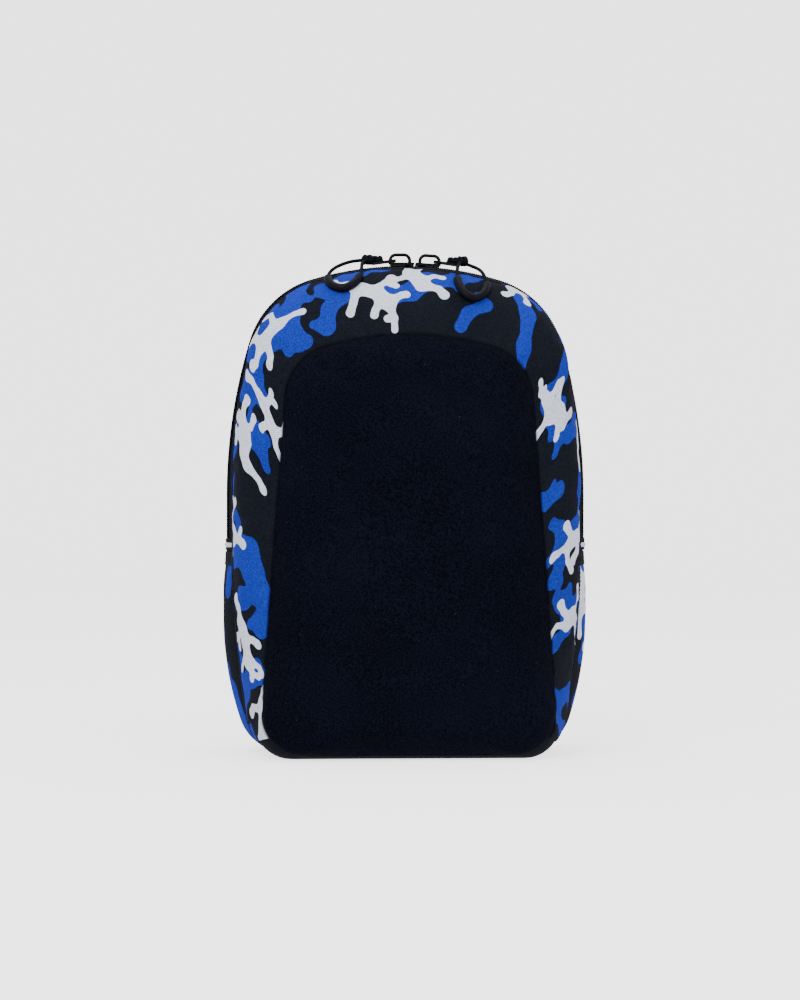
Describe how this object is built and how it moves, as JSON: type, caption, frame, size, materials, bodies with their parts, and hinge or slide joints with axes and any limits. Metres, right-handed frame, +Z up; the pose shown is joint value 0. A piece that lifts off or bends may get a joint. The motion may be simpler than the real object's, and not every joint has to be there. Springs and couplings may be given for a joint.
{
  "type": "small daypack",
  "caption": "Child's daypack with a padded arched front panel, a camouflage border, a zip round the crown with corded pulls, side pockets, padded shoulder straps and a haul handle.",
  "frame": {"origin": "middle of the flat base, on the surface the pack stands on", "axes": "+X to the right of someone facing the front, +Y from the front panel to the back, +Z up"},
  "size_m": [0.2568, 0.1672, 0.349],
  "materials": {
    "camo_fabric": "printed polyester, matt",
    "panel_twill": "fine twill, matt",
    "foam": "closed-cell foam",
    "pack_fabric": "plain polyester, matt",
    "binding_tape": "grosgrain",
    "reflective_piping": "reflective fabric",
    "zip_tape": "woven tape",
    "zip_coil": "nylon coil",
    "slider_metal": "black nickel",
    "cord": "round braided cord",
    "grip_rubber": "satin tube",
    "board": "polyethylene board",
    "back_mesh": "spacer mesh",
    "strap_fabric": "padded polyester",
    "webbing": "ribbed webbing",
    "buckle_plastic": "satin black"
  },
  "bodies": {
    "bag": {"border_lower_left": "camo_fabric", "border_lower_right": "camo_fabric", "side_pocket_left": "camo_fabric", "side_pocket_right": "camo_fabric", "front_panel_lower": "panel_twill", "border_foam_lower": "foam", "front_foam_lower": "foam", "base_foam": "foam", "back_foam": "foam", "base_panel": "pack_fabric", "side_wall_left": "pack_fabric", "side_wall_right": "pack_fabric", "rear_gusset": "pack_fabric", "pocket_hem_left": "binding_tape", "pocket_hem_right": "binding_tape", "back_binding": "binding_tape", "strap_yoke": "binding_tape", "side_piping_left": "reflective_piping", "side_piping_right": "reflective_piping", "zip_tape_rear": "zip_tape", "zip_coil_rear": "zip_coil", "zip_end_stops": "zip_coil", "back_board": "board", "back_cover": "back_mesh", "back_pad_left": "back_mesh", "back_pad_right": "back_mesh", "back_pad_lumbar": "back_mesh", "lower_webbing_left": "webbing", "lower_webbing_right": "webbing", "webbing_wing_left": "webbing", "webbing_wing_right": "webbing"},
    "lid": {"front_panel_upper": "panel_twill", "front_foam_upper": "foam", "border_upper": "camo_fabric", "border_foam_upper": "foam", "zip_tape_front": "zip_tape", "zip_coil_front": "zip_coil"},
    "slider_left": {"slider_left": "slider_metal"},
    "tab_left": {"pull_tab_left": "slider_metal", "cord_hitch_left": "cord"},
    "pull_left": {"pull_knot_left": "cord", "pull_cord_left": "cord", "pull_grip_left": "grip_rubber"},
    "strap_left": {"shoulder_strap_left": "strap_fabric", "strap_webbing_left": "webbing", "ladder_lock_left": "buckle_plastic", "webbing_tail_left": "webbing"},
    "slider_right": {"slider_right": "slider_metal"},
    "tab_right": {"pull_tab_right": "slider_metal", "cord_hitch_right": "cord"},
    "pull_right": {"pull_knot_right": "cord", "pull_cord_right": "cord", "pull_grip_right": "grip_rubber"},
    "strap_right": {"shoulder_strap_right": "strap_fabric", "strap_webbing_right": "webbing", "ladder_lock_right": "buckle_plastic", "webbing_tail_right": "webbing"},
    "handle": {"haul_handle": "webbing"}
  },
  "joints": [
    {"name": "lid_fold", "type": "hinge", "parent": "bag", "child": "lid", "pos_m": [0, -0.0625, 0.142], "axis": [1, 0, 0], "range_deg": [0, 38], "deforming": ["zip_tape_front", "zip_coil_front", "zip_tape_rear", "zip_coil_rear"]},
    {"name": "slider_run_left", "type": "hinge", "parent": "lid", "child": "slider_left", "pos_m": [0, 0.004, 0.111], "axis": [0, -1, 0], "range_deg": [0, 11]},
    {"name": "tab_turn_left", "type": "hinge", "parent": "slider_left", "child": "tab_left", "pos_m": [-0.00689, 0.004, 0.34374], "axis": [0, 1, 0], "range_deg": [0, 95]},
    {"name": "pull_swing_left", "type": "hinge", "parent": "tab_left", "child": "pull_left", "pos_m": [-0.02389, 0.004, 0.34425], "axis": [-1, 0, 0], "range_deg": [0, 120]},
    {"name": "slider_run_right", "type": "hinge", "parent": "lid", "child": "slider_right", "pos_m": [0, 0.004, 0.111], "axis": [0, 1, 0], "range_deg": [0, 11]},
    {"name": "tab_turn_right", "type": "hinge", "parent": "slider_right", "child": "tab_right", "pos_m": [0.01949, 0.004, 0.34302], "axis": [0, -1, 0], "range_deg": [0, 95]},
    {"name": "pull_swing_right", "type": "hinge", "parent": "tab_right", "child": "pull_right", "pos_m": [0.03649, 0.004, 0.34353], "axis": [-1, 0, 0], "range_deg": [0, 120]},
    {"name": "strap_swing_left", "type": "hinge", "parent": "bag", "child": "strap_left", "pos_m": [-0.042, 0.0656, 0.313], "axis": [1, 0, 0], "range_deg": [0, 18], "deforming": ["lower_webbing_left"]},
    {"name": "strap_swing_right", "type": "hinge", "parent": "bag", "child": "strap_right", "pos_m": [0.042, 0.0656, 0.313], "axis": [1, 0, 0], "range_deg": [0, 18], "deforming": ["lower_webbing_right"]},
    {"name": "handle_swing", "type": "hinge", "parent": "bag", "child": "handle", "pos_m": [0, 0.0665, 0.321], "axis": [1, 0, 0], "range_deg": [0, 170]}
  ]
}
